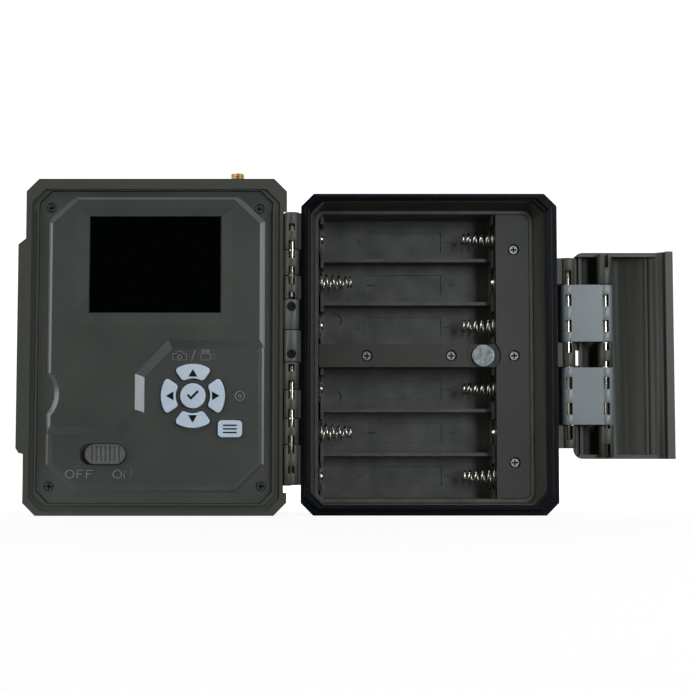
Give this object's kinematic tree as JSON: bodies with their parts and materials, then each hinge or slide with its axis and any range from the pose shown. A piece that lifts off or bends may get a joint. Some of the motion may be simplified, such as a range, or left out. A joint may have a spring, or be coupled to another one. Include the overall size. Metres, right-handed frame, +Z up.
{
  "type": "trail camera",
  "caption": "Opened outdoor trail camera: hinged front case with screen and keys, rear case with battery tray and seal, and a side draw latch.",
  "frame": {"origin": "middle of the overall box in plan, on the plane that both cases stand on, with the case and its latch open", "axes": "+X from the front case toward the rear case and the latch, +Y away from the open inside, +Z up"},
  "size_m": [0.2194, 0.0394, 0.1169],
  "materials": {
    "case_plastic": "textured olive-grey moulding",
    "gasket_silicone": "satin blue-black silicone",
    "tray_plastic": "satin charcoal moulding",
    "nickel_steel": "nickel-plated steel",
    "zinc_disc": "zinc-plated disc",
    "brass": "bright brass",
    "key_silicone": "translucent white silicone",
    "circuit_board": "green circuit board",
    "screen_gloss": "glossy black window",
    "tin_can": "tinned sheet",
    "black_plastic": "black moulding",
    "clear_window": "clear window",
    "smoked_window": "smoked infrared window",
    "diode_resin": "clear resin",
    "milky_lens": "milky polyethylene",
    "link_plastic": "grey nylon"
  },
  "bodies": {
    "rear_case": {"rear_case": "case_plastic", "rim_gasket": "gasket_silicone", "battery_tray": "tray_plastic", "contact_cover": "tray_plastic", "wire_cover": "tray_plastic", "cover_screws": "nickel_steel", "closure_magnet": "zinc_disc", "springs_hinge_end": "nickel_steel", "springs_latch_end": "nickel_steel", "plates_hinge_end": "nickel_steel", "plates_latch_end": "nickel_steel", "tripod_bush": "brass", "hinge_pin_upper": "nickel_steel", "hinge_pin_lower": "nickel_steel", "rear_barrel_cover": "case_plastic", "rear_barrel_screw": "nickel_steel", "latch_case_pin": "nickel_steel"},
    "front_case": {"front_case": "case_plastic", "inner_panel": "case_plastic", "panel_fixings": "nickel_steel", "screen_window": "screen_gloss", "display_module": "tin_can", "key_board": "circuit_board", "slide_switch": "tin_can", "main_board": "circuit_board", "board_parts": "black_plastic", "lens_holder": "black_plastic", "lens_barrel": "black_plastic", "lens_window": "clear_window", "infrared_board": "circuit_board", "infrared_diodes": "diode_resin", "infrared_window": "smoked_window", "motion_sensor": "tin_can", "motion_lens": "milky_lens", "indicator_windows": "smoked_window", "antenna_jack": "brass", "jack_nut": "brass", "front_barrel_cover": "case_plastic", "front_barrel_screw": "nickel_steel"},
    "latch_links": {"link_upper": "link_plastic", "link_lower": "link_plastic"},
    "latch_flap": {"latch_flap": "case_plastic", "latch_lever_pin": "nickel_steel"},
    "power_knob": {"power_knob": "tray_plastic"},
    "key_up": {"key_up": "key_silicone"},
    "key_down": {"key_down": "key_silicone"},
    "key_left": {"key_left": "key_silicone"},
    "key_right": {"key_right": "key_silicone"},
    "key_centre": {"key_centre": "key_silicone"},
    "key_menu": {"key_menu": "key_silicone"}
  },
  "joints": [
    {"name": "case_hinge", "type": "hinge", "parent": "rear_case", "child": "front_case", "pos_m": [-0.0181, -0.01727, 0.05365], "axis": [0, 0, 1], "range_deg": [0, 180]},
    {"name": "latch_link_hinge", "type": "hinge", "parent": "rear_case", "child": "latch_links", "pos_m": [0.07465, -0.01277, 0.05365], "axis": [0, 0, 1], "range_deg": [0, 90]},
    {"name": "latch_flap_hinge", "type": "hinge", "parent": "latch_links", "child": "latch_flap", "pos_m": [0.08715, -0.01277, 0.05365], "axis": [0, 0, 1], "range_deg": [-180, 0]},
    {"name": "power_slide", "type": "slide", "parent": "front_case", "child": "power_knob", "axis": [1, 0, 0], "range_m": [-0.0018, 0]},
    {"name": "key_up_press", "type": "slide", "parent": "front_case", "child": "key_up", "axis": [0, 1, 0], "range_m": [0, 0.0008], "stiffness_N_per_m": 1500, "springref_m": -0.0006},
    {"name": "key_down_press", "type": "slide", "parent": "front_case", "child": "key_down", "axis": [0, 1, 0], "range_m": [0, 0.0008], "stiffness_N_per_m": 1500, "springref_m": -0.0006},
    {"name": "key_left_press", "type": "slide", "parent": "front_case", "child": "key_left", "axis": [0, 1, 0], "range_m": [0, 0.0008], "stiffness_N_per_m": 1500, "springref_m": -0.0006},
    {"name": "key_right_press", "type": "slide", "parent": "front_case", "child": "key_right", "axis": [0, 1, 0], "range_m": [0, 0.0008], "stiffness_N_per_m": 1500, "springref_m": -0.0006},
    {"name": "key_centre_press", "type": "slide", "parent": "front_case", "child": "key_centre", "axis": [0, 1, 0], "range_m": [0, 0.0008], "stiffness_N_per_m": 1500, "springref_m": -0.0006},
    {"name": "key_menu_press", "type": "slide", "parent": "front_case", "child": "key_menu", "axis": [0, 1, 0], "range_m": [0, 0.0008], "stiffness_N_per_m": 1500, "springref_m": -0.0006}
  ],
  "couplings": [
    {"joint": "latch_flap_hinge", "follows": "latch_link_hinge", "ratio": -2}
  ]
}
